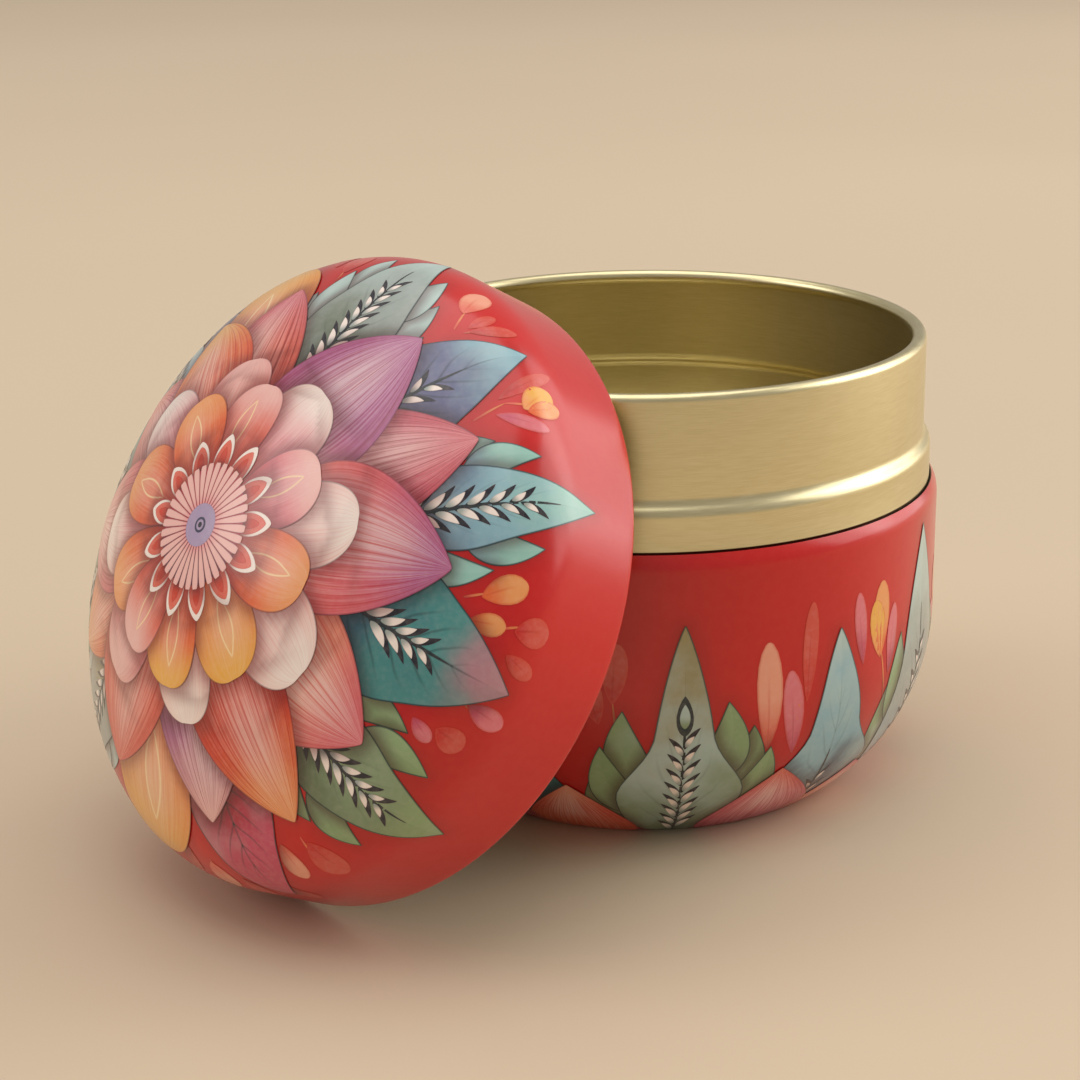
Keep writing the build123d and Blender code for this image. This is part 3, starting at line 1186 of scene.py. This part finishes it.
BORDER_START = -127


def draw_border(start):
    """One stretch of the border, from a given angle round the bowl."""

    def spot_up(angle, up):
        return (start + angle) * DEGREE_ON_BOWL, up

    for angle, reach, lean, half_width, shape, inks, lobes, pairs, end, size in BORDER_LEAVES:
        base, tip = spot_up(angle + lean, 0.6), spot_up(angle, reach)
        leaf = Leaf(bowl_leaves, bowl_leaflets, base, tip, half_width, shape)
        leaf.lobes(lobes, ("sage", "fern"))
        leaf.body(inks, foot_shadow=0.6, veins=0.35)
        leaf.spray(pairs, 0.04, end, size)
        if lobes and shape is ONION:
            leaf.bud(end, end + 0.15)
    for angle, reach, half_width, inks in BORDER_PETALS:
        base, tip = spot_up(angle, 0.5), spot_up(angle, reach)
        bowl_petals.blade(base, tip, half_width, FAN, 13, inks, (1, 0), casts=True)
    for stem, berries in BORDER_SPRIGS:
        stem = [spot_up(*point) for point in stem]
        berries = [(spot_up(*low), spot_up(*high), size, inks) for low, high, size, inks in berries]
        draw_sprig(bowl_sprigs, stem, berries)


for turn in (0, 120, 240):
    draw_border(BORDER_START + turn)
on_the_bowl.finish()
shade_ground(bowl, on_the_bowl, bowl_section, bowl_run, 1, bowl_spots)

# %% [markdown]
# ## The set
#
# A pale warm floor that reaches past the camera's view, two tall soft lights on the
# right, one beside the tin and one a little behind it, a wide one overhead, a weaker
# one on the left, and a warm sky for the rest.

# %% Floor
select_only()
bpy.ops.mesh.primitive_circle_add(vertices=96, radius=4, fill_type="NGON")
floor = bpy.context.object
floor.name = "floor"
floor_paint, shader, place = new_material("pale warm floor")
tone = place.noise(2.5, 2).rise(0.3, 0.7).paint(paint(203, 183, 157), paint(206, 186, 160))
feed(shader, Base_Color=tone, Roughness=0.72 + 0.04 * place.noise(4, 2))
floor.data.materials.append(floor_paint)
print("floor, 8 m across")

# %% Lights
to_scene = Matrix.Rotation(LOOK_ACROSS - pi / 2, 3, "Z")
AIM = Vector((-0.01, 0, 0.04))
LAMPS = (
    ("key", (1.7, 0.0, 0.9), (1.1, 1.5), 11, (1, 0.98, 0.95)),
    ("side", (1.55, 0.65, 0.75), (1.3, 1.9), 14, (1, 0.98, 0.95)),
    ("top", (-0.2, 0.1, 2.2), (2.4, 2.4), 27, (1, 0.99, 0.96)),
    ("fill", (-1.9, -0.2, 1.2), (1.2, 1.2), 11, (1, 0.98, 0.96)),
)


def soft_light(name, steps, size, power, colour):
    """A soft light, placed by its steps to the right, away from the camera and up."""
    lamp = bpy.data.lights.new(name, "AREA")
    lamp.shape = "RECTANGLE"
    lamp.size, lamp.size_y = size
    lamp.energy = power
    lamp.color = colour
    holder = bpy.data.objects.new(name, lamp)
    bpy.context.collection.objects.link(holder)
    place = to_scene @ Vector(steps)
    facing = (AIM - place).to_track_quat("-Z", "Y")
    holder.matrix_world = Matrix.Translation(place) @ facing.to_matrix().to_4x4()


for lamp_row in LAMPS:
    soft_light(*lamp_row)
print(len(LAMPS), "lights")

world = bpy.data.worlds.new("room")
bpy.context.scene.world = world
world.use_nodes = True
sky = world.node_tree.nodes["Background"].inputs
sky["Color"].default_value = paint(252, 247, 240)
sky["Strength"].default_value = 0.4
bpy.context.scene.view_settings.view_transform = "Standard"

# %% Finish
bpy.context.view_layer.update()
